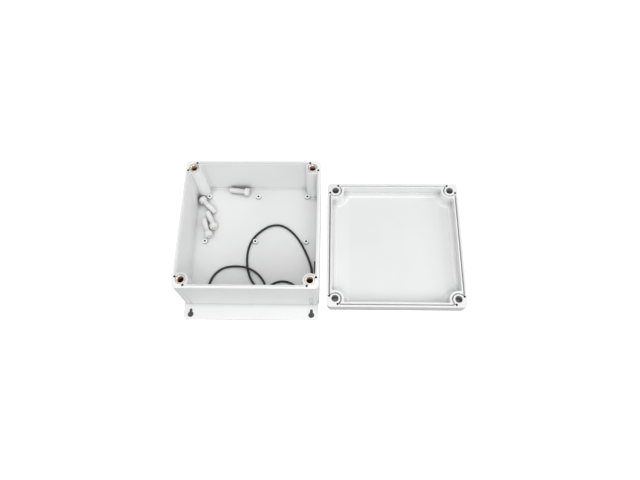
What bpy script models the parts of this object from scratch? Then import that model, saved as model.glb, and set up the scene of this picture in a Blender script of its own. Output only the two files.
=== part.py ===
"""Square plastic junction box with a screw-down cover, opened for wiring.

The base stands on its mounting flange. The cover lies beside it with its inside up, and the
four cover screws and the rubber seal cord lie loose on the base's floor.
Run with: blender --background --python part.py
Metres, +Z up. The origin is the centre of the base's underside, +X points at the cover.
"""

import math

import bmesh
import bpy
import numpy as np

# ---- Driving dimensions, in metres ----
GAP = 0.0003                      # left between pieces that touch

SIDE = 0.200                      # outer width and depth of the box at its rims
BASE_HEIGHT = 0.075               # underside to rim
BASE_FOOT = 0.197                 # outer width where the walls meet the flange
FLOOR = 0.003
BASE_CAVITY_TOP = 0.1892          # inner width at the rim
BASE_CAVITY_FOOT = 0.1876         # inner width at the floor
OUTER_CORNER = 0.0064
INNER_CORNER = 0.004

SCREW_SPACING = 0.175             # between the corner screws, both ways
POST_TOP = 0.0100                 # radius of a corner post at the rim
POST_FOOT = 0.0118

FLANGE_WIDTH = 0.1952
FLANGE_DEPTH = 0.2432
FLANGE_THICKNESS = 0.003
FLANGE_CORNER = 0.006
KEYHOLE_X = 0.0873
KEYHOLE_Y = 0.1140                # centre of the round entry
KEYHOLE_ENTRY = 0.0043            # radius of the round entry
KEYHOLE_SLOT = 0.0021             # half width of the slot
KEYHOLE_REACH = 0.0066            # from the entry's centre to the slot end's centre
SCALLOP_RADIUS = 0.0030           # driver recess in the wall above a keyhole
SCALLOP_DEPTH = 0.0012
SCALLOP_TOP = 0.036

BOSS_PITCH = 0.077                # 3 x 3 floor bosses
BOSS_RADIUS = 0.0036
BOSS_TOP = 0.0075
PILOT_RADIUS = 0.0015
PILOT_DEPTH = 0.0045

PIN_HOLE_NEAR = 0.0039            # blind rim holes, measured from the corner screw's axis
PIN_HOLE_FAR = 0.0083
PIN_HOLE_RADIUS = 0.0016
PIN_HOLE_DEPTH = 0.006

SEAL_LINE = 0.0958                # seal's distance from the box's middle plane
SEAL_ARC = 0.0087                 # seal's radius round a corner screw
SEAL_BLEND = 0.0018               # radius between the two
TONGUE_WIDTH = 0.0010
TONGUE_HEIGHT = 0.0012
GROOVE_WIDTH = 0.0024
GROOVE_DEPTH = 0.0045

INSERT_RADIUS = 0.0066
INSERT_LENGTH = 0.012
INSERT_BORE = 0.0047
INSERT_MOUTH = 0.0052
INSERT_CHAMFER = 0.0008
INSERT_FIT = 0.00025              # all round the insert in its pocket
POST_BORE = 0.0050
POST_BORE_DEPTH = 0.038

COVER_HEIGHT = 0.020
COVER_FACE = 0.1976               # outer width of the cover's face
COVER_EDGE = 0.0018               # rounding of the face's edge
COVER_PLATE = 0.003
COVER_CAVITY_TOP = 0.1850
COVER_CAVITY_FOOT = 0.1840
COVER_LEDGE = 0.0045              # height of the ledge inside the cover's walls
COVER_LEDGE_WIDTH = 0.0060
COVER_LEDGE_SLOPE = 0.0010
COVER_POST_TOP = 0.0129
COVER_POST_FOOT = 0.0133
COVER_SCREW_HOLE = 0.0050
COVER_RECESS_RADIUS = 0.0070
COVER_RECESS_DEPTH = 0.008
COVER_PLACE = (0.2087, -0.0068)

HEAD_RADIUS = 0.0062
HEAD_HEIGHT = 0.007
HEAD_EDGE = 0.0008
NECK_RADIUS = 0.0038
NECK_LENGTH = 0.009
SHANK_RADIUS = 0.0045
SCREW_LENGTH = 0.032
TIP_CHAMFER = 0.0010
SLOT_WIDTH = 0.0018
SLOT_DEPTH = 0.003

SEAL_DIAMETER = 0.0032
SEAL_POINTS = 80
SEAL_REST = FLOOR + GAP + SEAL_DIAMETER / 2
FINE_STEPS = 24

# Loose screws: where the middle of each lies on the floor, and which way its tip points.
LOOSE_SCREWS = (
    (-0.0771, 0.0600, -44),
    (-0.0705, 0.0345, 116),
    (-0.0761, 0.0212, 111),
    (-0.0296, 0.0858, 170),
)

# Seal cord's route over the floor: x, y and height above its resting height.
SEAL_ROUTE = (
    (0.0914, -0.0322, 0), (0.0911, -0.0595, 0), (0.0876, -0.0687, 0), (0.0815, -0.0713, 0),
    (0.0767, -0.0693, 0), (0.0746, -0.0648, 0), (0.0758, -0.0602, 0), (0.0796, -0.0573, 0),
    (0.0830, -0.0560, 0), (0.0862, -0.0512, 0), (0.0829, -0.0326, 0), (0.0673, 0.0006, 0),
    (0.0510, 0.0197, 0), (0.0360, 0.0275, 0), (0.0215, 0.0262, 0), (0.0085, 0.0183, 0),
    (-0.0047, 0.0031, 0), (-0.0104, -0.0160, 0), (-0.0104, -0.0350, 0), (-0.0060, -0.0540, 0),
    (0.0030, -0.0695, 0), (0.0138, -0.0766, 0), (0.0234, -0.0724, 0), (0.0360, -0.0651, 0),
    (0.0530, -0.0653, 0), (0.0664, -0.0765, 0), (0.0642, -0.0860, 0), (0.0540, -0.0897, 0),
    (-0.0530, -0.0897, 0), (-0.0632, -0.0843, 0), (-0.0646, -0.0745, 0), (-0.0590, -0.0563, 0),
    (-0.0435, -0.0430, 0), (-0.0235, -0.0409, 0.0009), (-0.0093, -0.0443, 0.0036), (0.0070, -0.0532, 0.0010),
    (0.0195, -0.0766, 0.0036), (0.0110, -0.0849, 0.0006), (-0.0080, -0.0844, 0), (-0.0580, -0.0844, 0),
)

# ---- Scene and materials ----


def clear_scene():
    for old in list(bpy.data.objects):
        bpy.data.objects.remove(old, do_unlink=True)


def new_collection(name):
    collection = bpy.data.collections.new(name)
    bpy.context.scene.collection.children.link(collection)
    return collection


def make_material(name, colour, roughness, metallic=0.0):
    material = bpy.data.materials.new(name)
    material.use_nodes = True
    shader = material.node_tree.nodes["Principled BSDF"]
    shader.inputs["Base Color"].default_value = (*colour, 1.0)
    shader.inputs["Roughness"].default_value = roughness
    shader.inputs["Metallic"].default_value = metallic
    return material


def add_object(name, mesh, collection, material=None):
    piece = bpy.data.objects.new(name, mesh)
    collection.objects.link(piece)
    if material:
        mesh.materials.append(material)
    if collection is CUTTERS:
        piece.hide_render = True
        piece.display_type = "WIRE"
    return piece


def mesh_object(name, bm, collection, material=None):
    """Turn a finished bmesh into an object with smooth round faces."""
    bmesh.ops.recalc_face_normals(bm, faces=bm.faces)
    mesh = bpy.data.meshes.new(name)
    bm.to_mesh(mesh)
    bm.free()
    mesh.shade_smooth()
    mesh.set_sharp_from_angle(angle=math.radians(35))
    return add_object(name, mesh, collection, material)


# ---- Shapes ----


def tapered_box(name, foot, top, z_low, z_high, corner, collection, material=None):
    """A box with rounded upright edges whose width and depth change from foot to top."""
    bm = bmesh.new()
    bmesh.ops.create_cube(bm, size=2.0)
    for vert in bm.verts:
        half = foot if vert.co.z < 0 else top
        vert.co = (vert.co.x * half[0] / 2, vert.co.y * half[1] / 2, z_low if vert.co.z < 0 else z_high)
    upright = [edge for edge in bm.edges if abs(edge.verts[0].co.z - edge.verts[1].co.z) > GAP]
    bmesh.ops.bevel(bm, geom=upright, offset=corner, segments=6, profile=0.5, affect="EDGES")
    return mesh_object(name, bm, collection, material)


def add_cone(bm, place, low_radius, high_radius, z_low, z_high, segments):
    """Add a round solid that stands on z_low at place to bm."""
    made = bmesh.ops.create_cone(
        bm, cap_ends=True, segments=segments, radius1=low_radius, radius2=high_radius, depth=z_high - z_low
    )
    bmesh.ops.translate(bm, verts=made["verts"], vec=(place[0], place[1], (z_low + z_high) / 2))


def round_set(name, places, radius, z_low, z_high, collection, top_radius=None, segments=32):
    """One object with the same upright round solid at every place."""
    bm = bmesh.new()
    for place in places:
        add_cone(bm, place, radius, top_radius or radius, z_low, z_high, segments)
    return mesh_object(name, bm, collection)


def turned(name, profile, collection, material, steps):
    """A solid turned about Z from a profile of (radius, height) that runs down its outer side."""
    mesh = bpy.data.meshes.new(name)
    edges = [(i, i + 1) for i in range(len(profile) - 1)]
    mesh.from_pydata([(radius, 0, height) for radius, height in profile], edges, [])
    piece = add_object(name, mesh, collection, material)
    screw = piece.modifiers.new("turn", "SCREW")
    screw.steps = steps
    screw.render_steps = steps
    screw.use_merge_vertices = True
    screw.merge_threshold = 0.00001
    return piece


def flat_prism(name, outlines, z_low, z_high, collection):
    """A flat outline, or a ring between two, given thickness."""
    curve = bpy.data.curves.new(name, "CURVE")
    curve.dimensions = "2D"
    curve.fill_mode = "BOTH"
    curve.extrude = (z_high - z_low) / 2
    for outline in outlines:
        spline = curve.splines.new("POLY")
        spline.points.add(len(outline) - 1)
        for point, (x, y) in zip(spline.points, outline):
            point.co = (x, y, 0, 1)
        spline.use_cyclic_u = True
    guide = add_object(name + "_outline", curve, CUTTERS)
    evaluated = guide.evaluated_get(bpy.context.evaluated_depsgraph_get())
    bm = bmesh.new()
    bm.from_mesh(evaluated.to_mesh())
    bmesh.ops.remove_doubles(bm, verts=bm.verts, dist=0.00001)
    bmesh.ops.translate(bm, verts=bm.verts, vec=(0, 0, (z_low + z_high) / 2))
    bpy.data.objects.remove(guide, do_unlink=True)
    return mesh_object(name, bm, collection)


def combine(piece, other, operation="DIFFERENCE"):
    step = piece.modifiers.new(f"{operation.lower()}_{other.name}", "BOOLEAN")
    step.operation = operation
    step.solver = "EXACT"
    step.object = other


def square_places(x, y):
    """The four places at plus and minus x and y."""
    return [(sx * x, sy * y) for sx in (-1, 1) for sy in (-1, 1)]


def arc(centre, radius, start, end, steps):
    """Points on an arc, both ends included; angles in degrees."""
    points = []
    for step in range(steps + 1):
        angle = math.radians(start + (end - start) * step / steps)
        points.append((centre[0] + radius * math.cos(angle), centre[1] + radius * math.sin(angle)))
    return points


# ---- Seal line, shared by the base's tongue and the cover's groove ----


def seal_outline(offset):
    """The closed line of the seal, moved outwards by offset.

    It runs straight along each side, and steps inwards round each corner screw: a small blend
    turns it off the side, and a wider arc carries it round the screw to the next blend.
    """
    screw = SCREW_SPACING / 2
    blend_y = SEAL_LINE - SEAL_BLEND - screw
    blend_x = -math.sqrt((SEAL_ARC + SEAL_BLEND) ** 2 - blend_y ** 2)
    turn = math.degrees(math.atan2(blend_y, blend_x))
    quarter = arc((blend_x, blend_y), SEAL_BLEND + offset, 90, turn - 180, 5)
    quarter += arc((0, 0), SEAL_ARC - offset, turn, 450 - turn, 12)[1:-1]
    quarter += arc((blend_y, blend_x), SEAL_BLEND + offset, 270 - turn, 0, 5)
    outline = []
    for side in range(4):
        spin = math.radians(-90 * side)
        for x, y in quarter:
            x, y = x + screw, y + screw
            outline.append((x * math.cos(spin) - y * math.sin(spin), x * math.sin(spin) + y * math.cos(spin)))
    return outline


def seal_ring(name, width, z_low, z_high):
    outlines = (seal_outline(width / 2), seal_outline(-width / 2))
    return flat_prism(name, outlines, z_low, z_high, CUTTERS)


# ---- Holes that the base and the cover share ----


def pin_hole_places():
    near = SCREW_SPACING / 2 - PIN_HOLE_NEAR
    far = SCREW_SPACING / 2 + PIN_HOLE_FAR
    return square_places(near, far) + square_places(far, near)


def corner_places():
    return square_places(SCREW_SPACING / 2, SCREW_SPACING / 2)


# ---- Base ----


def keyhole_outline(y_sign, place):
    """Round entry with a slot that ends nearer the wall."""
    opening = math.degrees(math.asin(KEYHOLE_SLOT / KEYHOLE_ENTRY))
    outline = arc((0, 0), KEYHOLE_ENTRY, 90 + opening, 450 - opening, 18)
    outline += arc((0, KEYHOLE_REACH), KEYHOLE_SLOT, 0, 180, 8)
    return [(place[0] + x, place[1] - y_sign * y) for x, y in outline]


def base_cavity():
    """The hollow of the base: a tapered box less the four corner posts."""
    foot = (BASE_CAVITY_FOOT, BASE_CAVITY_FOOT)
    slope = (BASE_CAVITY_TOP - BASE_CAVITY_FOOT) / (BASE_HEIGHT - FLOOR)
    above = BASE_CAVITY_TOP + slope * FLOOR
    top = (above, above)
    cavity = tapered_box("base_cavity", foot, top, FLOOR, BASE_HEIGHT + FLOOR, INNER_CORNER, CUTTERS)
    posts = round_set(
        "base_posts", corner_places(), POST_FOOT, FLOOR / 2, BASE_HEIGHT + 2 * FLOOR, CUTTERS, POST_TOP, 40
    )
    combine(cavity, posts)
    return cavity


def base_bosses():
    places = [(x * BOSS_PITCH, y * BOSS_PITCH) for x in (-1, 0, 1) for y in (-1, 0, 1)]
    bosses = round_set("floor_bosses", places, BOSS_RADIUS, FLOOR / 2, BOSS_TOP, CUTTERS, segments=20)
    pilots = round_set(
        "pilot_holes", places, PILOT_RADIUS, BOSS_TOP - PILOT_DEPTH, BOSS_TOP + FLOOR, CUTTERS, segments=12
    )
    return bosses, pilots


def scallops():
    """Upright driver recesses, one in the wall above each keyhole, rounded at the top."""
    y = BASE_FOOT / 2 + SCALLOP_RADIUS - SCALLOP_DEPTH
    bm = bmesh.new()
    for place in square_places(KEYHOLE_X, y):
        add_cone(bm, place, SCALLOP_RADIUS, SCALLOP_RADIUS, FLANGE_THICKNESS, SCALLOP_TOP, 24)
    return mesh_object("driver_scallops", bm, CUTTERS)


def make_base(material):
    outer = (BASE_FOOT, BASE_FOOT)
    rim = (SIDE, SIDE)
    base = tapered_box("base", outer, rim, 0, BASE_HEIGHT, OUTER_CORNER, BOX, material)
    plate = (FLANGE_WIDTH, FLANGE_DEPTH)
    flange = tapered_box("flange", plate, plate, 0, FLANGE_THICKNESS, FLANGE_CORNER, CUTTERS)
    bosses, pilots = base_bosses()
    combine(base, flange, "UNION")
    combine(base, base_cavity())
    combine(base, bosses, "UNION")
    combine(base, pilots)
    combine(base, seal_ring("tongue", TONGUE_WIDTH, BASE_HEIGHT - GAP, BASE_HEIGHT + TONGUE_HEIGHT), "UNION")
    pocket_floor = BASE_HEIGHT - INSERT_LENGTH - INSERT_FIT
    above = BASE_HEIGHT + FLOOR
    combine(base, round_set(
        "insert_pockets", corner_places(), INSERT_RADIUS + INSERT_FIT, pocket_floor, above, CUTTERS, segments=40
    ))
    combine(base, round_set(
        "post_bores", corner_places(), POST_BORE, BASE_HEIGHT - POST_BORE_DEPTH, above, CUTTERS, segments=24
    ))
    combine(base, round_set(
        "base_pin_holes", pin_hole_places(), PIN_HOLE_RADIUS, BASE_HEIGHT - PIN_HOLE_DEPTH, above, CUTTERS,
        segments=12
    ))
    for sx, sy in square_places(1, 1):
        outline = keyhole_outline(sy, (sx * KEYHOLE_X, sy * KEYHOLE_Y))
        name = f"keyhole_{'right' if sx > 0 else 'left'}_{'back' if sy > 0 else 'front'}"
        combine(base, flat_prism(name, [outline], -FLOOR, 2 * FLOOR, CUTTERS))
    combine(base, scallops())
    return base


# ---- Threaded inserts ----


def make_inserts(material):
    """Four brass sleeves, pressed flush into the tops of the corner posts."""
    low = -INSERT_LENGTH
    mouth = (INSERT_MOUTH, 0)
    profile = [
        mouth, (INSERT_RADIUS, 0), (INSERT_RADIUS, low), (INSERT_BORE, low), (INSERT_BORE, -INSERT_CHAMFER), mouth,
    ]
    for sx, sy in square_places(1, 1):
        name = f"insert_{'back' if sy > 0 else 'front'}_{'right' if sx > 0 else 'left'}"
        insert = turned(name, profile, BOX, material, 40)
        half = SCREW_SPACING / 2
        insert.location = (sx * half, sy * half, BASE_HEIGHT)


# ---- Cover, modelled about its own middle with its inside up ----


def cover_hollow():
    """The tray inside the cover above its ledge, less the four corner posts."""
    foot = (COVER_CAVITY_FOOT, COVER_CAVITY_FOOT)
    top = (COVER_CAVITY_TOP, COVER_CAVITY_TOP)
    top_z = COVER_HEIGHT + FLOOR
    hollow = tapered_box("cover_hollow", foot, top, COVER_LEDGE, top_z, INNER_CORNER, CUTTERS)
    posts = round_set(
        "cover_posts", corner_places(), COVER_POST_FOOT, 0, top_z + FLOOR, CUTTERS, COVER_POST_TOP, 40
    )
    combine(hollow, posts)
    return hollow


def cover_panel():
    """The shallower hollow in the plate: it stops a ledge's width from the walls and the posts."""
    top = COVER_CAVITY_FOOT - 2 * COVER_LEDGE_WIDTH
    foot = top - 2 * COVER_LEDGE_SLOPE
    panel = tapered_box(
        "cover_panel", (foot, foot), (top, top), COVER_PLATE, COVER_LEDGE + GAP, INNER_CORNER, CUTTERS
    )
    ledge_radius = COVER_POST_FOOT + COVER_LEDGE_WIDTH
    ledges = round_set(
        "cover_post_ledges", corner_places(), ledge_radius + COVER_LEDGE_SLOPE, COVER_PLATE - GAP,
        COVER_LEDGE + 2 * GAP, CUTTERS, ledge_radius, 48
    )
    combine(panel, ledges)
    return panel


def make_cover(material):
    face = (COVER_FACE, COVER_FACE)
    rim = (SIDE, SIDE)
    cover = tapered_box("cover", face, rim, 0, COVER_HEIGHT, OUTER_CORNER, BOX, material)
    edge = cover.modifiers.new("face_edge", "BEVEL")
    edge.width = COVER_EDGE
    edge.segments = 3
    edge.limit_method = "WEIGHT"
    weights = cover.data.attributes.new("bevel_weight_edge", "FLOAT", "EDGE")
    for line in cover.data.edges:
        heights = [cover.data.vertices[i].co.z for i in line.vertices]
        weights.data[line.index].value = 1.0 if max(heights) < GAP else 0.0
    combine(cover, cover_hollow())
    combine(cover, cover_panel())
    above = COVER_HEIGHT + FLOOR
    combine(cover, seal_ring("groove", GROOVE_WIDTH, COVER_HEIGHT - GROOVE_DEPTH, above))
    combine(cover, round_set("cover_screw_holes", corner_places(), COVER_SCREW_HOLE, -FLOOR, above, CUTTERS))
    combine(cover, round_set(
        "cover_recesses", corner_places(), COVER_RECESS_RADIUS, -FLOOR, COVER_RECESS_DEPTH, CUTTERS
    ))
    combine(cover, round_set(
        "cover_pin_holes", pin_hole_places(), PIN_HOLE_RADIUS, COVER_HEIGHT - PIN_HOLE_DEPTH, above, CUTTERS,
        segments=12
    ))
    place_with_cutters(cover, (*COVER_PLACE, 0))
    return cover


def place_with_cutters(piece, place):
    """Put a piece and all that cuts it on an empty, and move the empty."""
    holder = bpy.data.objects.new(piece.name + "_place", None)
    BOX.objects.link(holder)
    tools = [piece]
    for tool in tools:
        tool.parent = holder
        tools += [step.object for step in tool.modifiers if step.type == "BOOLEAN"]
    holder.location = place


# ---- Cover screws ----


def screw_profile():
    """From the middle of the head's top down to the tip; the tip points down."""
    neck_end = -HEAD_HEIGHT - NECK_LENGTH
    return [
        (0, 0), (HEAD_RADIUS - HEAD_EDGE, 0), (HEAD_RADIUS, -HEAD_EDGE), (HEAD_RADIUS, -HEAD_HEIGHT),
        (NECK_RADIUS, -HEAD_HEIGHT), (NECK_RADIUS, neck_end), (SHANK_RADIUS, neck_end - TIP_CHAMFER / 2),
        (SHANK_RADIUS, TIP_CHAMFER - SCREW_LENGTH), (SHANK_RADIUS - TIP_CHAMFER, -SCREW_LENGTH), (0, -SCREW_LENGTH),
    ]


def make_screw(number, middle, heading, material):
    """A screw that lies on the floor on its head's rim and the end of its shank."""
    screw = turned(f"cover_screw_{number}", screw_profile(), BOX, material, 28)
    slot = tapered_box(
        f"slot_{number}", (SLOT_WIDTH, 3 * HEAD_RADIUS), (SLOT_WIDTH, 3 * HEAD_RADIUS), -SLOT_DEPTH, SLOT_DEPTH,
        GAP, CUTTERS
    )
    combine(screw, slot)
    lean = math.atan((HEAD_RADIUS - SHANK_RADIUS) / (SCREW_LENGTH - TIP_CHAMFER - HEAD_HEIGHT))
    top_height = FLOOR + GAP + HEAD_RADIUS * math.cos(lean) + HEAD_HEIGHT * math.sin(lean)
    back = SCREW_LENGTH / 2 * math.cos(lean)
    yaw = math.radians(heading)
    top = (middle[0] - back * math.cos(yaw), middle[1] - back * math.sin(yaw), top_height)
    place_with_cutters(screw, top)
    screw.parent.rotation_euler = (0, lean - math.pi / 2, yaw)


# ---- Seal cord ----


def smooth_route(route, count):
    """Points at even steps along a natural cubic curve through the route's points."""
    places = np.array([(x, y, SEAL_REST + height) for x, y, height in route])
    gaps = np.sqrt(np.linalg.norm(np.diff(places, axis=0), axis=1))
    size = len(places)
    system = np.eye(size)
    right = np.zeros((size, 3))
    slopes = np.diff(places, axis=0) / gaps[:, None]
    for i in range(1, size - 1):
        system[i, i - 1 : i + 2] = (gaps[i - 1], 2 * (gaps[i - 1] + gaps[i]), gaps[i])
        right[i] = 6 * (slopes[i] - slopes[i - 1])
    bends = np.linalg.solve(system, right)
    fine = []
    for i, gap in enumerate(gaps):
        for step in range(FINE_STEPS):
            t = gap * step / FINE_STEPS
            cubic = (bends[i + 1] - bends[i]) / (6 * gap)
            linear = slopes[i] - gap * (2 * bends[i] + bends[i + 1]) / 6
            fine.append(places[i] + t * (linear + t * (bends[i] / 2 + t * cubic)))
    fine = np.array(fine + [places[-1]])
    along = np.concatenate(([0], np.cumsum(np.linalg.norm(np.diff(fine, axis=0), axis=1))))
    even = np.linspace(0, along[-1], count)
    points = np.column_stack([np.interp(even, along, fine[:, axis]) for axis in range(3)])
    points[:, 2] = np.maximum(points[:, 2], SEAL_REST)
    return points


def make_seal(material):
    """The rubber cord that belongs in the cover's groove, lying loose in the base."""
    curve = bpy.data.curves.new("seal_cord", "CURVE")
    curve.dimensions = "3D"
    curve.bevel_depth = SEAL_DIAMETER / 2
    curve.bevel_resolution = 2
    curve.use_fill_caps = True
    curve.render_resolution_u = 0
    points = smooth_route(SEAL_ROUTE, SEAL_POINTS)
    spline = curve.splines.new("POLY")
    spline.points.add(len(points) - 1)
    for point, place in zip(spline.points, points):
        point.co = (*place, 1)
    add_object("seal_cord", curve, BOX, material)


# ---- The box ----

clear_scene()
BOX = new_collection("junction_box")
CUTTERS = new_collection("cutters")

base_plastic = make_material("base_plastic", (0.72, 0.73, 0.73), 0.42)
cover_plastic = make_material("cover_plastic", (0.74, 0.75, 0.75), 0.40)
brass = make_material("insert_brass", (0.80, 0.62, 0.38), 0.30, 1.0)
screw_plastic = make_material("screw_plastic", (0.66, 0.67, 0.66), 0.45)
seal_rubber = make_material("seal_rubber", (0.03, 0.03, 0.032), 0.60)

make_base(base_plastic)
make_inserts(brass)
make_cover(cover_plastic)
for index, (middle_x, middle_y, heading) in enumerate(LOOSE_SCREWS):
    make_screw(index + 1, (middle_x, middle_y), heading, screw_plastic)
make_seal(seal_rubber)
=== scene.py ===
"""Looks of the square plastic junction box: the base on its flange, the cover beside it with its
inside up, and the cover screws and the seal cord loose in the base. Metres, +Z up.
"""

import math

import bmesh
import bpy
import numpy as np
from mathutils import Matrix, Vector


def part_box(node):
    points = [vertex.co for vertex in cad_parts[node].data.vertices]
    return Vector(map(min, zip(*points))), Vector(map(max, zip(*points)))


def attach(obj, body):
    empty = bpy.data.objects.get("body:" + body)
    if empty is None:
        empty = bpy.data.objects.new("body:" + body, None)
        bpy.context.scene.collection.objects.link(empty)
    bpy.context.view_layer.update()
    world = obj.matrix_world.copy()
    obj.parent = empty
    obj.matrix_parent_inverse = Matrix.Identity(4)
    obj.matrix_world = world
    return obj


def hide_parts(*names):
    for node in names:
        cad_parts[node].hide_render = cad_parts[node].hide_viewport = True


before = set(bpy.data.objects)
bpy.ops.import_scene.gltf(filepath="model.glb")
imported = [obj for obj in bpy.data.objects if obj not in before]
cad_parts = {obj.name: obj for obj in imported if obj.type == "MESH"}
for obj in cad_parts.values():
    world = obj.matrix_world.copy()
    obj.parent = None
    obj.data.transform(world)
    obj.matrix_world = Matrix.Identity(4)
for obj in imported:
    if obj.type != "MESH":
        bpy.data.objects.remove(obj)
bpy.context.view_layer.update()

# ---- Sizes, from the frame where it gives them ----

BASE_LOW, BASE_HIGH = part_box("base")
COVER_LOW, COVER_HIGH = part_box("cover")
INSERT_LOW, INSERT_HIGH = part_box("insert_back_right")

SIDE = BASE_HIGH.x - BASE_LOW.x
BASE_HEIGHT = INSERT_HIGH.z
# Thickness of the base's floor and of its flange.
FLOOR = 0.003
# Width across the walls at the foot; they lean out to SIDE at the rim.
BASE_FOOT = 0.197
OUTER_CORNER = 0.0064
WALL_ROUND = 0.0005
SCREW_AT = (INSERT_LOW.x + INSERT_HIGH.x) / 2

BASE_CAVITY_FOOT = 0.1876
BASE_CAVITY_TOP = 0.1892
BASE_BLEND = 0.0022
BASE_FILLET = 0.0012
POST_FOOT = 0.0118
POST_TOP = 0.0100

FLANGE_WIDTH = 0.1952
FLANGE_DEPTH = BASE_HIGH.y - BASE_LOW.y
FLANGE_CORNER = 0.006
KEYHOLE_X = 0.0873
KEYHOLE_Y = 0.1140
KEYHOLE_ENTRY = 0.0043
KEYHOLE_SLOT = 0.0021
KEYHOLE_REACH = 0.0066
SCALLOP_RADIUS = 0.0030
SCALLOP_DEPTH = 0.0012
SCALLOP_TOP = 0.036

BOSS_PITCH = 0.077
BOSS_RADIUS = 0.0036
BOSS_FILLET = 0.0006
BOSS_TOP = 0.0075
PILOT_RADIUS = 0.0015
PILOT_DEPTH = 0.0045
EJECTOR_RADIUS = 0.0032
EJECTOR_DEPTH = 0.00004
EJECTOR_EDGE = 0.0004
# Middles of the ejector marks on the base's floor.
EJECTOR_MARKS = (
    (0.0557, 0.0544), (0.0019, 0.0486), (-0.0339, 0.0385), (0.0791, 0.0227),
    (-0.0817, -0.0346), (0.0456, -0.0346), (0.0207, -0.0340),
)

PIN_HOLE_NEAR = 0.0039
PIN_HOLE_FAR = 0.0083
PIN_HOLE_RADIUS = 0.0016
PIN_HOLE_DEPTH = 0.006

# Middle line of the seal, shared by the base's tongue and the cover's groove.
SEAL_LINE = 0.0958
SEAL_ARC = 0.0087
SEAL_BLEND = 0.0018
TONGUE_WIDTH = 0.0010
TONGUE_ROUND = 0.0004
TONGUE_HEIGHT = BASE_HIGH.z - BASE_HEIGHT
GROOVE_WIDTH = 0.0024
GROOVE_DEPTH = 0.0045
GROOVE_FOOT = 0.0012
GROOVE_ROUND = 0.00036
# Depth down to which the groove's walls carry a painted highlight; below it they carry painted shade.
GROOVE_LIT_DEPTH = 0.0031

INSERT_RADIUS = (INSERT_HIGH.x - INSERT_LOW.x) / 2
INSERT_LENGTH = INSERT_HIGH.z - INSERT_LOW.z
INSERT_BORE = 0.0047
INSERT_FIT = 0.00025
INSERT_PITCH = 0.00125
INSERT_THREAD = 0.0004
INSERT_CHAMFER = 0.0005
INSERT_EDGE = 0.0002
THREAD_RINGS = 64
# The painted shade down the bore comes in between these depths under the rim.
BORE_SHADE_TOP = 0.003
BORE_SHADE_LOW = 0.013
POST_BORE = 0.0050
POST_BORE_DEPTH = 0.038

COVER_X = (COVER_LOW.x + COVER_HIGH.x) / 2
COVER_Y = (COVER_LOW.y + COVER_HIGH.y) / 2
COVER_HEIGHT = COVER_HIGH.z
COVER_FACE = 0.1976
COVER_EDGE = 0.0018
COVER_PLATE = 0.003
COVER_CAVITY_FOOT = 0.1840
COVER_CAVITY_TOP = 0.1850
COVER_BLEND = 0.0020
COVER_FILLET = 0.0010
COVER_LEDGE = 0.0045
COVER_LEDGE_WIDTH = 0.0060
COVER_LEDGE_SLOPE = 0.0018
COVER_POST_FOOT = 0.0133
COVER_POST_TOP = 0.0129
COVER_SCREW_HOLE = 0.0050
COVER_RECESS_RADIUS = 0.0070
COVER_RECESS_DEPTH = 0.008

HEAD_RADIUS = 0.0062
HEAD_HEIGHT = 0.007
HEAD_EDGE = 0.0008
NECK_RADIUS = 0.0038
NECK_LENGTH = 0.009
SHANK_RADIUS = 0.0045
SCREW_LENGTH = 0.032
TIP_CHAMFER = 0.0010
NECK_CHAMFER = 0.0005
SLOT_WIDTH = 0.0018
SLOT_DEPTH = 0.003
THREAD_PITCH = 0.0018
THREAD_DEPTH = 0.0006
# Middle of each loose screw, and its heading from head to tip in degrees.
LOOSE_SCREWS = (
    (-0.0771, 0.0600, -44),
    (-0.0705, 0.0345, 116),
    (-0.0761, 0.0212, 111),
    (-0.0296, 0.0858, 170),
)

# Air under a loose part, size of the small chamfers, and overlap of shapes that are joined.
GAP = 0.0003
# How far a cutter runs on past the face it cuts.
PAST = 0.003
SHARP_ANGLE = 35
# Reach of the painted contact shade on the plastic, and the occlusion values that it fades between.
CONTACT_SHADE_REACH = 0.012
CONTACT_SHADE_AO = (0.10, 0.70)

SEAL_DIAMETER = 0.0032
SEAL_REST = FLOOR + GAP + SEAL_DIAMETER / 2
SEAL_POINTS = 400
SEAL_STEPS = 24
# Seal cord's route over the floor: x, y and height above its resting height.
SEAL_ROUTE = (
    (0.0914, -0.0322, 0), (0.0911, -0.0595, 0), (0.0876, -0.0687, 0), (0.0815, -0.0713, 0),
    (0.0767, -0.0693, 0), (0.0746, -0.0648, 0), (0.0758, -0.0602, 0), (0.0796, -0.0573, 0),
    (0.0830, -0.0560, 0), (0.0862, -0.0512, 0), (0.0829, -0.0326, 0), (0.0673, 0.0006, 0),
    (0.0510, 0.0197, 0), (0.0360, 0.0275, 0), (0.0215, 0.0262, 0), (0.0085, 0.0183, 0),
    (-0.0047, 0.0031, 0), (-0.0104, -0.0160, 0), (-0.0104, -0.0350, 0), (-0.0060, -0.0540, 0),
    (0.0030, -0.0695, 0), (0.0138, -0.0766, 0), (0.0234, -0.0724, 0), (0.0360, -0.0651, 0),
    (0.0530, -0.0653, 0), (0.0664, -0.0765, 0), (0.0642, -0.0860, 0), (0.0540, -0.0897, 0),
    (-0.0530, -0.0897, 0), (-0.0632, -0.0843, 0), (-0.0646, -0.0745, 0), (-0.0590, -0.0563, 0),
    (-0.0435, -0.0430, 0), (-0.0235, -0.0409, 0.0009), (-0.0093, -0.0443, 0.0036), (0.0070, -0.0532, 0.0010),
    (0.0195, -0.0766, 0.0036), (0.0110, -0.0849, 0.0006), (-0.0080, -0.0844, 0), (-0.0580, -0.0844, 0),
)

WHITE = (1.0, 1.0, 1.0, 1)
BLACK = (0.0, 0.0, 0.0, 1)
FLOOR_HALF = 3.0
FLOOR_DROP = 0.0002
FLOOR_SHADE_EDGE = 0.004
FLOOR_SHADE_REACH = 0.015
FLOOR_SHADE_AO = (0.10, 0.30)
FLOOR_GLOW = 0.8
FLOOR_BOUNCE = 0.38
WORLD_GLOW = 0.60
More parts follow.
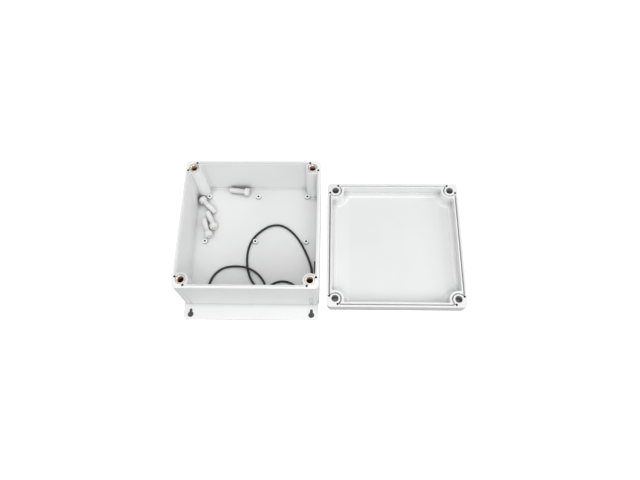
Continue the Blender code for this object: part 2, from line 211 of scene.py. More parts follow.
# Name, place, side in metres and power of each soft box.
SOFT_BOXES = (
    ("top_box", (0.15, 0.0, 1.6), 1.2, 4),
    ("front_box", (0.15, -1.1, 1.2), 1.0, 11.5),
    ("left_box", (-1.3, -0.1, 0.8), 0.8, 1),
    ("right_box", (1.6, -0.1, 0.8), 0.8, 7.5),
)

# ---- Camera ----


def add_camera():
    data = bpy.data.cameras.new("camera")
    data.sensor_width = 36
    data.lens = 32.284
    camera = bpy.data.objects.new("camera", data)
    camera.location = (0.12425, -0.35704, 0.79646)
    camera.rotation_euler = (0.42759, 0.02552, 0.01699)
    bpy.context.scene.collection.objects.link(camera)
    bpy.context.scene.camera = camera


# ---- Objects ----


def add_object(name, data):
    piece = bpy.data.objects.new(name, data)
    bpy.context.scene.collection.objects.link(piece)
    return piece


def bm_object(name, bm, material):
    bmesh.ops.recalc_face_normals(bm, faces=bm.faces)
    if bm.calc_volume(signed=True) < 0:
        bmesh.ops.reverse_faces(bm, faces=bm.faces)
    mesh = bpy.data.meshes.new(name)
    bm.to_mesh(mesh)
    bm.free()
    mesh.materials.append(material)
    return add_object(name, mesh)


def combine(piece, steps):
    """Cut or join the other shapes, each a pair of shape and operation, and keep only the result.

    A shape's material goes over to the faces that it makes.
    """
    for other, operation in steps:
        step = piece.modifiers.new(other.name, "BOOLEAN")
        step.operation = operation
        step.solver = "EXACT"
        step.material_mode = "TRANSFER"
        step.object = other
    evaluated = piece.evaluated_get(bpy.context.evaluated_depsgraph_get())
    piece.data = bpy.data.meshes.new_from_object(evaluated)
    piece.modifiers.clear()
    for other, _ in steps:
        bpy.data.objects.remove(other, do_unlink=True)


def finish_piece(piece):
    piece.data.shade_smooth()
    piece.data.set_sharp_from_angle(angle=math.radians(SHARP_ANGLE))
    even = piece.modifiers.new("even_shading", "WEIGHTED_NORMAL")
    even.keep_sharp = True


# ---- Outlines, all with the same turning sense ----


def arc(centre, radius, start, end, steps):
    """Points on an arc, both ends included; angles in degrees."""
    points = []
    for step in range(steps + 1):
        angle = math.radians(start + (end - start) * step / steps)
        points.append((centre[0] + radius * math.cos(angle), centre[1] + radius * math.sin(angle)))
    return points


def rounded_box(half_x, half_y, corner):
    outline = []
    for sx, sy, start in ((1, 1, 90), (1, -1, 0), (-1, -1, -90), (-1, 1, -180)):
        centre = (sx * (half_x - corner), sy * (half_y - corner))
        outline += arc(centre, corner, start, start - 90, steps=8)
    return outline


def stepped_square(line, radius, blend, offset=0):
    """A square that steps inwards round each corner screw, moved outwards by offset.

    It runs straight at line from the middle. A blend turns it off the side, and a wider arc
    carries it round the screw to the next blend.
    """
    blend_y = line - blend - SCREW_AT
    blend_x = -math.sqrt((radius + blend) ** 2 - blend_y ** 2)
    turn = math.degrees(math.atan2(blend_y, blend_x)) % 360
    quarter = arc((blend_x, blend_y), blend + offset, 90, turn - 180, steps=6)
    quarter += arc((0, 0), radius - offset, turn, 450 - turn, steps=24)[1:-1]
    quarter += arc((blend_y, blend_x), blend + offset, 270 - turn, 0, steps=6)
    outline = []
    for side in range(4):
        spin = math.radians(-90 * side)
        for x, y in quarter:
            x, y = x + SCREW_AT, y + SCREW_AT
            outline.append((x * math.cos(spin) - y * math.sin(spin), x * math.sin(spin) + y * math.cos(spin)))
    return outline


def keyhole(place, y_sign, offset):
    """Round entry with a slot that ends nearer the wall."""
    entry = KEYHOLE_ENTRY + offset
    slot = KEYHOLE_SLOT + offset
    opening = math.degrees(math.asin(slot / entry))
    outline = arc((0, 0), entry, 90 + opening, 450 - opening, steps=28)
    outline += arc((0, KEYHOLE_REACH), slot, 0, 180, steps=12)
    return [(place[0] + x, place[1] - y_sign * y) for x, y in outline]


def edge_round(size, steps=4):
    """Pairs of how far in and how far up, along a quarter round of an edge from side to top."""
    angles = [math.pi / 2 * step / steps for step in range(steps + 1)]
    return [(size * (1 - math.cos(angle)), size * math.sin(angle)) for angle in angles]


# ---- Solids ----


def skin(bm, rows, closed):
    """Faces between rows of points; a row of one point is a tip."""
    pairs = list(zip(rows, rows[1:]))
    if closed:
        pairs.append((rows[-1], rows[0]))
    for one, two in pairs:
        for i in range(max(len(one), len(two))):
            corners = [one[i % len(one)], one[(i + 1) % len(one)], two[(i + 1) % len(two)], two[i % len(two)]]
            bm.faces.new(list(dict.fromkeys(corners)))


def loft(name, rings, material, closed=False):
    """A solid through rings of (outline, height) from the foot up, or a closed band through them."""
    bm = bmesh.new()
    rows = [[bm.verts.new((x, y, z)) for x, y in outline] for outline, z in rings]
    skin(bm, rows, closed)
    if not closed:
        bm.faces.new(rows[0])
        bm.faces.new(rows[-1])
    return bm_object(name, bm, material)


def turn(bm, profile, place=(0, 0), segments=48, thread=None, closed=False):
    """Add a solid turned about an upright axis; thread gives what to add to a radius."""
    rows = []
    for radius, z in profile:
        if radius == 0:
            rows.append([bm.verts.new((*place, z))])
            continue
        row = []
        for step in range(segments):
            angle = 2 * math.pi * step / segments
            far = radius + (thread(z, angle) if thread else 0)
            row.append(bm.verts.new((place[0] + far * math.cos(angle), place[1] + far * math.sin(angle), z)))
        rows.append(row)
    skin(bm, rows, closed)


def turned_set(name, profile, places, material, segments=48):
    bm = bmesh.new()
    for place in places:
        turn(bm, profile, place, segments)
    return bm_object(name, bm, material)


def hole(radius, low, mouth, chamfer):
    """Profile of a round cutter that widens by a small chamfer at the mouth and runs on past it."""
    above = mouth + PAST
    wide = radius + chamfer
    return [(0, low), (radius, low), (radius, mouth - chamfer), (wide, mouth), (wide, above), (0, above)]


def square_places(x, y):
    return [(sx * x, sy * y) for sx in (-1, 1) for sy in (-1, 1)]


CORNERS = square_places(SCREW_AT, SCREW_AT)
PIN_HOLES = square_places(SCREW_AT - PIN_HOLE_NEAR, SCREW_AT + PIN_HOLE_FAR)
PIN_HOLES += square_places(SCREW_AT + PIN_HOLE_FAR, SCREW_AT - PIN_HOLE_NEAR)


# ---- Base ----


def base_outside(material):
    def half(z):
        return (BASE_FOOT + (SIDE - BASE_FOOT) * z / BASE_HEIGHT) / 2

    rings = [(rounded_box(half(0), half(0), OUTER_CORNER), 0)]
    for inwards, up in edge_round(WALL_ROUND):
        z = BASE_HEIGHT - WALL_ROUND + up
        rings.append((rounded_box(half(z) - inwards, half(z) - inwards, OUTER_CORNER - inwards), z))
    return loft("base_body", rings, material)


def cavity(name, material, low, high, foot, top, post_foot, post_top, blend, fillet):
    """A hollow with draft, a fillet round its floor and a small round at its mouth."""

    def outline(z, offset):
        along = (z - low) / (high - low)
        line = (foot + (top - foot) * along) / 2
        return stepped_square(line, post_foot + (post_top - post_foot) * along, blend, offset)

    rings = []
    for inwards, up in reversed(edge_round(fillet, steps=5)):
        z = low + fillet - up
        rings.append((outline(z, -inwards), z))
    for outwards, up in edge_round(WALL_ROUND):
        z = high - WALL_ROUND + up
        rings.append((outline(z, outwards), z))
    rings.append((outline(high, WALL_ROUND), high + PAST))
    return loft(name, rings, material)


def flange(material):
    half_x = FLANGE_WIDTH / 2
    half_y = FLANGE_DEPTH / 2
    rings = []
    for inwards, up in reversed(edge_round(WALL_ROUND / 2)):
        rings.append((inwards, WALL_ROUND / 2 - up))
    for inwards, up in edge_round(WALL_ROUND):
        rings.append((inwards, FLOOR - WALL_ROUND + up))
    return loft("flange", [
        (rounded_box(half_x - inwards, half_y - inwards, FLANGE_CORNER - inwards), z) for inwards, z in rings
    ], material)


def tongue(material):
    """The ridge on the rim that presses into the cover's seal."""
    half = TONGUE_WIDTH / 2
    shoulder = BASE_HEIGHT + TONGUE_HEIGHT - TONGUE_ROUND
    side = [(half, BASE_HEIGHT - GAP)]
    side += [(half - inwards, shoulder + up) for inwards, up in edge_round(TONGUE_ROUND)]
    profile = side + [(-offset, z) for offset, z in reversed(side)]
    rings = [(stepped_square(SEAL_LINE, SEAL_ARC, SEAL_BLEND, offset), z) for offset, z in profile]
    return loft("tongue", rings, material, closed=True)


def floor_bosses(material, shaded_bore_material):
    """Round bosses with a fillet at the foot, and the cutters of their blind pilot holes."""
    profile = [(0, FLOOR - GAP), (BOSS_RADIUS + BOSS_FILLET, FLOOR - GAP)]
    for outwards, down in reversed(edge_round(BOSS_FILLET)):
        profile.append((BOSS_RADIUS + outwards, FLOOR + BOSS_FILLET - down))
    profile += [(BOSS_RADIUS - inwards, BOSS_TOP - GAP + up) for inwards, up in edge_round(GAP)]
    profile.append((0, BOSS_TOP))
    places = [(x * BOSS_PITCH, y * BOSS_PITCH) for x in (-1, 0, 1) for y in (-1, 0, 1)]
    bosses = turned_set("bosses", profile, places, material, segments=40)
    pilot = hole(PILOT_RADIUS, BOSS_TOP - PILOT_DEPTH, BOSS_TOP, GAP)
    pilots = turned_set("pilots", pilot, places, shaded_bore_material, segments=24)
    return bosses, pilots


def scallops(material):
    """Upright driver recesses in the wall above each keyhole, with a round top."""
    profile = [(0, FLOOR), (SCALLOP_RADIUS, FLOOR)]
    for inwards, up in edge_round(SCALLOP_RADIUS, steps=8):
        profile.append((SCALLOP_RADIUS - inwards, SCALLOP_TOP - SCALLOP_RADIUS + up))
    profile[-1] = (0, SCALLOP_TOP)
    places = square_places(KEYHOLE_X, BASE_FOOT / 2 + SCALLOP_RADIUS - SCALLOP_DEPTH)
    return turned_set("scallops", profile, places, material)


def keyholes(material):
    cutters = []
    for sx, sy in square_places(1, 1):
        place = (sx * KEYHOLE_X, sy * KEYHOLE_Y)
        rings = [(0, -PAST), (0, FLOOR - GAP), (GAP, FLOOR), (GAP, FLOOR + PAST)]
        cutters.append(loft("keyhole", [(keyhole(place, sy, offset), z) for offset, z in rings], material))
    return cutters


def ejector_marks(material):
    """Very shallow round dents with a sloping edge."""
    slope = EJECTOR_EDGE * GAP / EJECTOR_DEPTH
    profile = [(0, FLOOR - EJECTOR_DEPTH), (EJECTOR_RADIUS, FLOOR - EJECTOR_DEPTH)]
    profile += [(EJECTOR_RADIUS + EJECTOR_EDGE + slope, FLOOR + GAP), (0, FLOOR + GAP)]
    return turned_set("ejector_marks", profile, EJECTOR_MARKS, material, segments=40)


def pin_holes(top, shaded_bore_material):
    profile = hole(PIN_HOLE_RADIUS, top - PIN_HOLE_DEPTH, top, GAP / 2)
    return turned_set("pin_holes", profile, PIN_HOLES, shaded_bore_material, segments=32)


def add_base(material, lit_boss_material, shaded_tongue_material, shaded_bore_material):
    base = base_outside(material)
    hollow = cavity(
        "hollow", material, FLOOR, BASE_HEIGHT, BASE_CAVITY_FOOT, BASE_CAVITY_TOP, POST_FOOT, POST_TOP,
        BASE_BLEND, BASE_FILLET
    )
    bosses, pilots = floor_bosses(lit_boss_material, shaded_bore_material)
    pocket_low = BASE_HEIGHT - INSERT_LENGTH - INSERT_FIT
    pocket = hole(INSERT_RADIUS + INSERT_FIT, pocket_low, BASE_HEIGHT, GAP / 2)
    post_bore = hole(POST_BORE, BASE_HEIGHT - POST_BORE_DEPTH, BASE_HEIGHT, 0)
    # The pilots, insert pockets, post bores and pin holes take painted shade from the bore material.
    cuts = [
        pilots,
        ejector_marks(material),
        turned_set("pockets", pocket, CORNERS, shaded_bore_material, segments=64),
        turned_set("post_bores", post_bore, CORNERS, shaded_bore_material, segments=40),
        pin_holes(BASE_HEIGHT, shaded_bore_material),
        scallops(material),
        *keyholes(material),
    ]
    combine(base, [
        (flange(material), "UNION"),
        (hollow, "DIFFERENCE"),
        (bosses, "UNION"),
        (tongue(shaded_tongue_material), "UNION"),
    ])
    combine(base, [(cut, "DIFFERENCE") for cut in cuts])
    finish_piece(base)
    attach(base, "base")
    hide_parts("base")


# ---- Inserts ----


def rings_between(radius, low, high):
    """Profile points close enough together to carry a thread."""
    return [(radius, low + (high - low) * step / THREAD_RINGS) for step in range(THREAD_RINGS + 1)]


def thread_wave(pitch, depth, low, high):
    """A V thread between low and high that dies away over one pitch at each end.

    It cuts into a shank; with a negative depth it cuts outwards from a bore.
    """

    def wave(z, angle):
        phase = (z / pitch - angle / (2 * math.pi)) % 1
        fade = max(0, min(1, (z - low) / pitch, (high - z) / pitch))
        return depth * fade * (abs(2 * phase - 1) - 1)

    return wave


def add_inserts(material):
    """Brass sleeves with a chamfered mouth and a thread, pressed into the posts."""
    top = BASE_HEIGHT
    low = top - INSERT_LENGTH
    mouth = top - INSERT_CHAMFER
    profile = rings_between(INSERT_BORE, low, mouth)
    profile += [(INSERT_BORE + INSERT_CHAMFER, top), (INSERT_RADIUS - INSERT_EDGE, top)]
    profile += [(INSERT_RADIUS, top - INSERT_EDGE), (INSERT_RADIUS, low)]
    wave = thread_wave(INSERT_PITCH, -INSERT_THREAD, low + INSERT_PITCH, mouth)
    for sx, sy in square_places(1, 1):
        node = f"insert_{'back' if sy > 0 else 'front'}_{'right' if sx > 0 else 'left'}"
        bm = bmesh.new()
        turn(bm, profile, (sx * SCREW_AT, sy * SCREW_AT), segments=40, thread=wave, closed=True)
        sleeve = bm_object(node + "_sleeve", bm, material)
        finish_piece(sleeve)
        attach(sleeve, "base")
        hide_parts(node)


# ---- Cover, made about its own middle with its inside up ----


def cover_outside(material):
    def half(z):
        return (COVER_FACE + (SIDE - COVER_FACE) * z / COVER_HEIGHT) / 2

    rings = []
    for inwards, up in reversed(edge_round(COVER_EDGE, steps=6)):
        rings.append((inwards, COVER_EDGE - up))
    for inwards, up in edge_round(WALL_ROUND):
        rings.append((inwards, COVER_HEIGHT - WALL_ROUND + up))
    return loft("cover_body", [
        (rounded_box(half(z) - inwards, half(z) - inwards, OUTER_CORNER - inwards), z) for inwards, z in rings
    ], material)


def cover_panel(material):
    """The shallow panel in the plate: a ledge runs round it along the walls and the posts."""
    line = COVER_CAVITY_FOOT / 2 - COVER_LEDGE_WIDTH
    post = COVER_POST_FOOT + COVER_LEDGE_WIDTH
    rings = (
        (COVER_LEDGE_SLOPE, COVER_PLATE),
        (GAP, COVER_LEDGE - GAP),
        (0, COVER_LEDGE),
        (0, COVER_LEDGE + GAP),
    )
    return loft("panel", [
        (stepped_square(line, post, COVER_BLEND, -inwards), z) for inwards, z in rings
    ], material)


def seal_groove(material):
    """A groove that narrows towards its round foot."""
    half = GROOVE_WIDTH / 2
    mouth = half + GAP / 2
    foot = GROOVE_FOOT / 2
    shoulder = COVER_HEIGHT - GROOVE_DEPTH + GROOVE_ROUND
    side = [(foot - inwards, shoulder - down) for inwards, down in reversed(edge_round(GROOVE_ROUND))]
    side += [(half, COVER_HEIGHT - GAP / 2), (mouth, COVER_HEIGHT), (mouth, COVER_HEIGHT + PAST)]
    profile = [(-offset, z) for offset, z in reversed(side)] + side
    rings = [(stepped_square(SEAL_LINE, SEAL_ARC, SEAL_BLEND, offset), z) for offset, z in profile]
    return loft("groove", rings, material, closed=True)


def add_cover(material, shaded_shell_material, lit_groove_material, shaded_bore_material, shaded_hole_material):
    cover = cover_outside(shaded_shell_material)
    tray = cavity(
        "tray", material, COVER_LEDGE, COVER_HEIGHT, COVER_CAVITY_FOOT, COVER_CAVITY_TOP, COVER_POST_FOOT,
        COVER_POST_TOP, COVER_BLEND, COVER_FILLET
    )
    screw_hole = hole(COVER_SCREW_HOLE, -PAST, COVER_HEIGHT, GAP)
    recess = [(0, -PAST), (COVER_RECESS_RADIUS + GAP, -PAST), (COVER_RECESS_RADIUS + GAP, 0)]
    recess += [(COVER_RECESS_RADIUS, GAP), (COVER_RECESS_RADIUS, COVER_RECESS_DEPTH), (0, COVER_RECESS_DEPTH)]
    # Painted shade goes into the screw holes and pin holes, and painted light and shade into the seal groove.
    cuts = [
        tray,
        cover_panel(material),
        seal_groove(lit_groove_material),
        turned_set("screw_holes", screw_hole, CORNERS, shaded_hole_material, segments=56),
        turned_set("recesses", recess, CORNERS, material, segments=56),
        pin_holes(COVER_HEIGHT, shaded_bore_material),
    ]
    combine(cover, [(cut, "DIFFERENCE") for cut in cuts])
    cover.location = (COVER_X, COVER_Y, 0)
    finish_piece(cover)
    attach(cover, "cover")
    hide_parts("cover")


# ---- Cover screws ----


def screw_profile():
    """From the tip up to the middle of the head's top, at height 0; and the thread's wave."""
    neck_end = -HEAD_HEIGHT - NECK_LENGTH
    thread_low = TIP_CHAMFER - SCREW_LENGTH
    thread_high = neck_end - NECK_CHAMFER
    profile = [(0, -SCREW_LENGTH), (SHANK_RADIUS - TIP_CHAMFER, -SCREW_LENGTH)]
    profile += rings_between(SHANK_RADIUS, thread_low, thread_high)
    profile += [(NECK_RADIUS, neck_end), (NECK_RADIUS, -HEAD_HEIGHT - GAP), (NECK_RADIUS + GAP, -HEAD_HEIGHT)]
    profile += [(HEAD_RADIUS - GAP, -HEAD_HEIGHT), (HEAD_RADIUS, -HEAD_HEIGHT + GAP)]
    profile += [(HEAD_RADIUS - inwards, -HEAD_EDGE + up) for inwards, up in edge_round(HEAD_EDGE)]
    profile.append((0, 0))
    return profile, thread_wave(THREAD_PITCH, THREAD_DEPTH, thread_low, thread_high)


def add_screws(material):
    """Slotted screws that lie on the floor on the head's rim and the end of the shank."""
    profile, wave = screw_profile()
    lean = math.atan((HEAD_RADIUS - SHANK_RADIUS) / (SCREW_LENGTH - TIP_CHAMFER - HEAD_HEIGHT))
    top_height = FLOOR + GAP + HEAD_RADIUS * math.cos(lean) + HEAD_HEIGHT * math.sin(lean)
    back = SCREW_LENGTH / 2 * math.cos(lean)
    half = SLOT_WIDTH / 2
    rings = ((0, -SLOT_DEPTH), (0, -GAP / 2), (GAP / 2, 0), (GAP / 2, SLOT_DEPTH))
    slot_rings = [(rounded_box(half + wider, 2 * HEAD_RADIUS, half / 2), z) for wider, z in rings]
    for number, (x, y, heading) in enumerate(LOOSE_SCREWS, 1):
        bm = bmesh.new()
        turn(bm, profile, thread=wave)
        screw = bm_object(f"cover_screw_{number}_body", bm, material)
        combine(screw, [(loft("slot", slot_rings, material), "DIFFERENCE")])
        yaw = math.radians(heading)
        screw.location = (x - back * math.cos(yaw), y - back * math.sin(yaw), top_height)
        screw.rotation_euler = (0, lean - math.pi / 2, yaw)
        finish_piece(screw)
        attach(screw, f"cover_screw_{number}")
        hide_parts(f"cover_screw_{number}")


# ---- Seal cord ----


def smooth_route(route, count):
    """Points at even steps along a natural cubic curve through the route, and its length."""
    places = np.array([(x, y, SEAL_REST + height) for x, y, height in route])
    gaps = np.sqrt(np.linalg.norm(np.diff(places, axis=0), axis=1))
    size = len(places)
    system = np.eye(size)
    right = np.zeros((size, 3))
    slopes = np.diff(places, axis=0) / gaps[:, None]
    for i in range(1, size - 1):
        system[i, i - 1 : i + 2] = (gaps[i - 1], 2 * (gaps[i - 1] + gaps[i]), gaps[i])
        right[i] = 6 * (slopes[i] - slopes[i - 1])
    bends = np.linalg.solve(system, right)
    fine = []
    for i, gap in enumerate(gaps):
        for step in range(SEAL_STEPS):
            t = gap * step / SEAL_STEPS
            cubic = (bends[i + 1] - bends[i]) / (6 * gap)
            linear = slopes[i] - gap * (2 * bends[i] + bends[i + 1]) / 6
            fine.append(places[i] + t * (linear + t * (bends[i] / 2 + t * cubic)))
    fine = np.array(fine + [places[-1]])
    along = np.concatenate(([0], np.cumsum(np.linalg.norm(np.diff(fine, axis=0), axis=1))))
    even = np.linspace(0, along[-1], count)
    points = np.column_stack([np.interp(even, along, fine[:, axis]) for axis in range(3)])
    points[:, 2] = np.maximum(points[:, 2], SEAL_REST)
    return points, along[-1]


def add_seal(material):
    """Round rubber cord that belongs in the cover's groove, cut square at both ends."""
    points, length = smooth_route(SEAL_ROUTE, SEAL_POINTS)
    curve = bpy.data.curves.new("seal_cord_run", "CURVE")
    curve.dimensions = "3D"
    curve.bevel_depth = SEAL_DIAMETER / 2
    curve.bevel_resolution = 6
    curve.use_fill_caps = True
    spline = curve.splines.new("POLY")
    spline.points.add(len(points) - 1)
    for point, place in zip(spline.points, points):
        point.co = (*place, 1)
    spline.use_smooth = True
    curve.materials.append(material)
    cord = add_object("seal_cord_run", curve)
    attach(cord, "seal_cord")
    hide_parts("seal_cord")


# ---- Materials ----


def toned(colour, factor=1.0):
    """A colour made lighter or darker, with its alpha."""
    return (*[min(1, part * factor) for part in colour], 1)


class Surface:
    """A Principled material, and short ways to add nodes to it."""

    def __init__(self, name, roughness, metallic=0.0):
        self.material = bpy.data.materials.new(name)
        self.material.use_nodes = True
        self.nodes = self.material.node_tree.nodes
        self.links = self.material.node_tree.links
        self.shader = self.nodes["Principled BSDF"]
        self.shader.inputs["Roughness"].default_value = roughness
        self.shader.inputs["Metallic"].default_value = metallic
        self.place = self.nodes.new("ShaderNodeTexCoord").outputs["Object"]

    def node(self, kind, inputs=None, **settings):
        """Add a node; an input's value may be a number, a colour or another node's output."""
        node = self.nodes.new(kind)
        for key, value in settings.items():
            setattr(node, key, value)
        for key, value in (inputs or {}).items():
            self.feed(node.inputs[key], value)
        return node

    def feed(self, socket, value):
        if isinstance(value, bpy.types.NodeSocket):
            self.links.new(value, socket)
        else:
            socket.default_value = value

    def noise(self, scale, detail=3.0, roughness=0.5, distortion=0.0):
        """Noise between 0 and 1, with scale in features per metre."""
        inputs = {"Vector": self.place, "Scale": scale, "Detail": detail}
        inputs |= {"Roughness": roughness, "Distortion": distortion}
        return self.node("ShaderNodeTexNoise", inputs).outputs["Fac"]

    def remap(self, value, low, high, new_low, new_high):
        inputs = {0: value, 1: low, 2: high, 3: new_low, 4: new_high}
        return self.node("ShaderNodeMapRange", inputs).outputs[0]

    def mix(self, factor, one, two):
        """Mix two colours."""
        node = self.node("ShaderNodeMix", data_type="RGBA")
        for index, value in ((0, factor), (6, one), (7, two)):
            self.feed(node.inputs[index], value)
        return node.outputs[2]

    def height(self):
        """Height in the piece's own axes, in metres."""
        return self.node("ShaderNodeSeparateXYZ", {0: self.place}).outputs["Z"]

    def occlusion(self, reach, samples, limits, covered, in_open):
        """One value where something stands close, another in the open, and a ramp between the limits."""
        open_sky = self.node("ShaderNodeAmbientOcclusion", {"Distance": reach}, samples=samples)
        return self.remap(open_sky.outputs["AO"], *limits, covered, in_open)

    def bump(self, height, distance, strength, under=None):
        inputs = {"Height": height, "Distance": distance, "Strength": strength}
        if under:
            inputs["Normal"] = under
        return self.node("ShaderNodeBump", inputs).outputs["Normal"]

    def set(self, **inputs):
        """Feed the shader's sockets, named with _ for a space."""
        for key, value in inputs.items():
            self.feed(self.shader.inputs[key.replace("_", " ")], value)


def moulded_plastic(name, colour, shade, roughness, dust_and_contact_shade=0.0, lit_top=None):
    """Light grey ABS: a fine spark-eroded grain, faint flow clouds, paler sharp outer edges, and painted
    shade in concave creases.

    A contact amount from 0 to 1 sets how much painted shade darkens the plastic where something stands
    close to it. Given a top height, it has its full colour only at that height and a painted shade below
    it, as if only the top were lit.
    """
    surface = Surface(name, roughness)
    clouds = surface.noise(14, detail=4, roughness=0.55, distortion=0.4)
    clouds = surface.remap(clouds, 0.35, 0.65, 0.0, 1.0)
    sharpness = surface.node("ShaderNodeNewGeometry").outputs["Pointiness"]
    edge = surface.remap(sharpness, 0.52, 0.60, 0.0, 0.35)
    # Painted shade: concave creases take the shade colour.
    crease_shade = surface.remap(sharpness, 0.40, 0.48, 0.55, 0.0)
    tone = surface.mix(clouds, toned(colour), toned(colour, 0.975))
    tone = surface.mix(edge, tone, toned(colour, 1.12))
    tone = surface.mix(crease_shade, tone, toned(shade))
    specks = surface.remap(surface.noise(900, detail=2), 0.70, 0.78, 0.0, 0.10)
    tone = surface.mix(specks, tone, toned(shade))
    # Painted light and shade: full colour at the top height, the shade colour below it.
    if lit_top:
        shade_below = surface.remap(surface.height(), lit_top - 2 * GAP, lit_top - GAP / 2, 1.0, 0.0)
        tone = surface.mix(shade_below, tone, toned(shade))
    # Painted contact shade: an occlusion ramp darkens the plastic where something stands close to it.
    if dust_and_contact_shade:
        contact = surface.occlusion(CONTACT_SHADE_REACH, samples=8, limits=CONTACT_SHADE_AO, covered=dust_and_contact_shade, in_open=0.0)
        tone = surface.mix(contact, tone, toned(shade, 0.45))
    scuffs = surface.noise(60, detail=6, roughness=0.7, distortion=1.5)
    scuffs = surface.remap(scuffs, 0.45, 0.75, roughness - 0.05, roughness + 0.08)
    grain = surface.bump(surface.noise(5200, detail=2, roughness=0.6), 0.00002, 0.35)
    waves = surface.bump(surface.noise(28, detail=2), 0.00012, 0.30, grain)
    surface.set(Base_Color=tone, Roughness=scuffs, Normal=waves, IOR=1.53)
    return surface.material


def turned_brass(name):
    """Pale brass with fine lathe rings and a dull film, and painted shade darkening it down the thread."""
    surface = Surface(name, 0.3, metallic=1.0)
    film = surface.remap(surface.noise(420, detail=4, roughness=0.6), 0.35, 0.7, 0.0, 1.0)
    tone = surface.mix(film, (0.97, 0.90, 0.80, 1), (0.88, 0.74, 0.60, 1))
    # Painted shade: the bore darkens towards its foot.
    bore_shade = surface.remap(surface.height(), BASE_HEIGHT - BORE_SHADE_LOW, BASE_HEIGHT - BORE_SHADE_TOP, 1.0, 0.0)
    tone = surface.mix(bore_shade, tone, (0.34, 0.19, 0.11, 1))
    rings = surface.node(
        "ShaderNodeTexWave", {"Vector": surface.place, "Scale": 900.0, "Distortion": 1.5, "Detail": 2.0},
        wave_type="BANDS", bands_direction="Z",
    ).outputs["Fac"]
    rough = surface.remap(film, 0, 1, 0.22, 0.38)
    surface.set(Base_Color=tone, Roughness=rough, Normal=surface.bump(rings, 0.00001, 0.3))
    return surface.material


def black_rubber(name):
    """Extruded cellular rubber: matt black with fine pores and a little dust."""
    surface = Surface(name, 0.7)
    dust_and_contact_shade = surface.remap(surface.noise(350, detail=5, roughness=0.65), 0.5, 0.75, 0.0, 0.35)
    tone = surface.mix(dust_and_contact_shade, (0.016, 0.016, 0.017, 1), (0.075, 0.075, 0.073, 1))
    pores = surface.node(
        "ShaderNodeTexVoronoi", {"Vector": surface.place, "Scale": 2600.0}, feature="F1"
    ).outputs["Distance"]
    rough = surface.remap(dust_and_contact_shade, 0, 0.35, 0.62, 0.85)
    surface.set(Base_Color=tone, Roughness=rough, Normal=surface.bump(pores, 0.00008, 0.5))
    return surface.material


# ---- Floor and light ----


def shade_under_base(surface):
    """1 on the floor well under the base's flange, 0 outside, and soft between."""
    middle = ((BASE_LOW.x + BASE_HIGH.x) / 2, (BASE_LOW.y + BASE_HIGH.y) / 2, 0)
    place = surface.node("ShaderNodeVectorMath", {0: surface.place, 1: middle}, operation="SUBTRACT")
    across = surface.node("ShaderNodeVectorMath", {0: place.outputs[0]}, operation="ABSOLUTE")
    far = surface.node("ShaderNodeSeparateXYZ", {0: across.outputs[0]})
    sides = []
    for axis, half in (("X", FLANGE_WIDTH / 2), ("Y", FLANGE_DEPTH / 2)):
        sides.append(surface.remap(far.outputs[axis], half - FLOOR_SHADE_EDGE, half, 1, 0))
    return surface.node("ShaderNodeMath", {0: sides[0], 1: sides[1]}, operation="MULTIPLY").outputs[0]


def add_floor():
    """A white paper sweep that throws little light back up.

    It carries painted shade under the base, which stays where it is, and wherever a part lies close above it.
    """
    surface = Surface("floor_paper", 0.8)
    base_shade = shade_under_base(surface)
    close_shade = surface.occlusion(
        FLOOR_SHADE_REACH, samples=16, limits=FLOOR_SHADE_AO, covered=1, in_open=0
    )
    shade = surface.node("ShaderNodeMath", {0: base_shade, 1: close_shade}, operation="MAXIMUM").outputs[0]
    paper = surface.mix(surface.noise(8), (0.96, 0.96, 0.96, 1), (0.94, 0.94, 0.945, 1))
    # Painted shade: where shaded, the paper turns near black and stops glowing.
    tone = surface.mix(shade, paper, (0.08, 0.08, 0.08, 1))
    glow = surface.mix(shade, WHITE, BLACK)
    surface.set(Base_Color=tone, Emission_Color=glow, Emission_Strength=FLOOR_GLOW)
    grey = surface.node("ShaderNodeBsdfDiffuse", {"Color": (FLOOR_BOUNCE, FLOOR_BOUNCE, FLOOR_BOUNCE, 1)})
    seen = surface.node("ShaderNodeLightPath").outputs["Is Camera Ray"]
    mixed = surface.node("ShaderNodeMixShader", {0: seen, 1: grey.outputs[0], 2: surface.shader.outputs[0]})
    surface.links.new(mixed.outputs[0], surface.nodes["Material Output"].inputs["Surface"])
    bm = bmesh.new()
    bmesh.ops.create_grid(bm, x_segments=1, y_segments=1, size=FLOOR_HALF)
    floor = bm_object("floor", bm, surface.material)
    floor.location.z = -FLOOR_DROP


def add_light(name, place, aim, size, power):
    """A square soft box at place that faces aim."""
    data = bpy.data.lights.new(name, "AREA")
    data.shape = "SQUARE"
    data.size = size
    data.energy = power
    light = add_object(name, data)
    light.location = place
    direction = Vector(aim) - Vector(place)
    light.rotation_euler = direction.to_track_quat("-Z", "Y").to_euler()


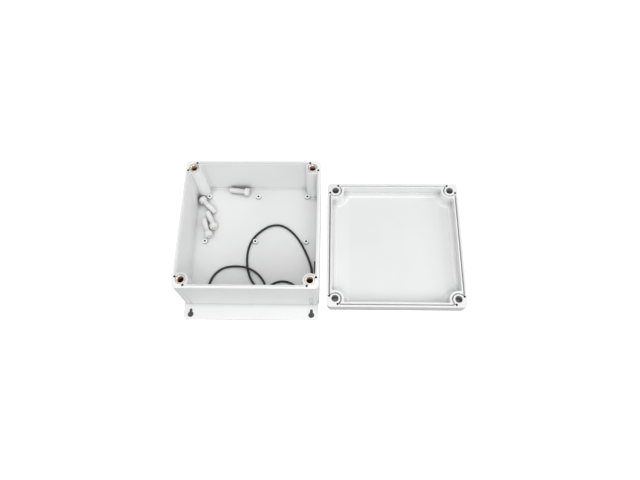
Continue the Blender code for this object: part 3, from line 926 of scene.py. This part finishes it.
def add_studio():
    """White backdrop and four soft boxes; the backdrop lights the object less than it shows."""
    world = bpy.data.worlds.new("studio")
    world.use_nodes = True
    nodes = world.node_tree.nodes
    links = world.node_tree.links
    glow = nodes["Background"]
    glow.inputs["Color"].default_value = WHITE
    glow.inputs["Strength"].default_value = WORLD_GLOW
    backdrop = nodes.new("ShaderNodeBackground")
    backdrop.inputs["Color"].default_value = WHITE
    mixed = nodes.new("ShaderNodeMixShader")
    links.new(nodes.new("ShaderNodeLightPath").outputs["Is Camera Ray"], mixed.inputs[0])
    links.new(glow.outputs[0], mixed.inputs[1])
    links.new(backdrop.outputs[0], mixed.inputs[2])
    links.new(mixed.outputs[0], nodes["World Output"].inputs["Surface"])
    bpy.context.scene.world = world
    middle = (COVER_X / 2, 0, 0)
    for name, place, size, power in SOFT_BOXES:
        add_light(name, place, middle, size, power)
    bpy.context.scene.view_settings.view_transform = "Standard"


# ---- Scene ----

add_camera()
add_seal(black_rubber("seal_rubber"))
# Painted shade in the cover's screw holes.
shaded_hole_plastic = moulded_plastic("shaded_hole_plastic", (0.30, 0.30, 0.295), (0.14, 0.14, 0.14), 0.6)
# Darker painted shade in the pilots, insert pockets, post bores and pin holes.
shaded_bore_plastic = moulded_plastic("shaded_bore_plastic", (0.12, 0.12, 0.118), (0.05, 0.05, 0.05), 0.6)
# Bosses: painted highlight on the top, painted shade on the sides.
lit_boss_plastic = moulded_plastic(
    "lit_boss_plastic", (0.98, 0.98, 0.98), (0.50, 0.50, 0.50), 0.42, lit_top=BOSS_TOP
)
# Seal groove: painted highlight on its upper walls, painted shade at its foot.
lit_groove_plastic = moulded_plastic(
    "lit_groove_plastic", (0.88, 0.88, 0.88), (0.30, 0.30, 0.30), 0.42, lit_top=COVER_HEIGHT - GROOVE_LIT_DEPTH
)
# Tongue: painted shade on its sides below the top.
shaded_tongue_plastic = moulded_plastic(
    "shaded_tongue_plastic", (0.82, 0.82, 0.82), (0.30, 0.30, 0.30), 0.42, lit_top=BASE_HEIGHT + TONGUE_HEIGHT
)
# Cover's outside: painted shade on the walls below the rim.
shaded_shell_plastic = moulded_plastic(
    "shaded_shell_plastic", (0.755, 0.757, 0.759), (0.68, 0.68, 0.685), 0.40, dust_and_contact_shade=0.3, lit_top=COVER_HEIGHT
)
# Base, cover and screws: painted contact shade where something stands close to them.
base_plastic = moulded_plastic("base_plastic", (0.80, 0.802, 0.804), (0.50, 0.51, 0.51), 0.42, dust_and_contact_shade=0.85)
cover_plastic = moulded_plastic(
    "cover_plastic", (0.755, 0.757, 0.759), (0.46, 0.47, 0.47), 0.40, dust_and_contact_shade=0.8
)
screw_plastic = moulded_plastic("screw_plastic", (0.75, 0.75, 0.74), (0.42, 0.42, 0.41), 0.45, dust_and_contact_shade=0.6)
add_base(base_plastic, lit_boss_plastic, shaded_tongue_plastic, shaded_bore_plastic)
add_inserts(turned_brass("insert_brass"))
add_cover(cover_plastic, shaded_shell_plastic, lit_groove_plastic, shaded_bore_plastic, shaded_hole_plastic)
add_screws(screw_plastic)
add_floor()
add_studio()
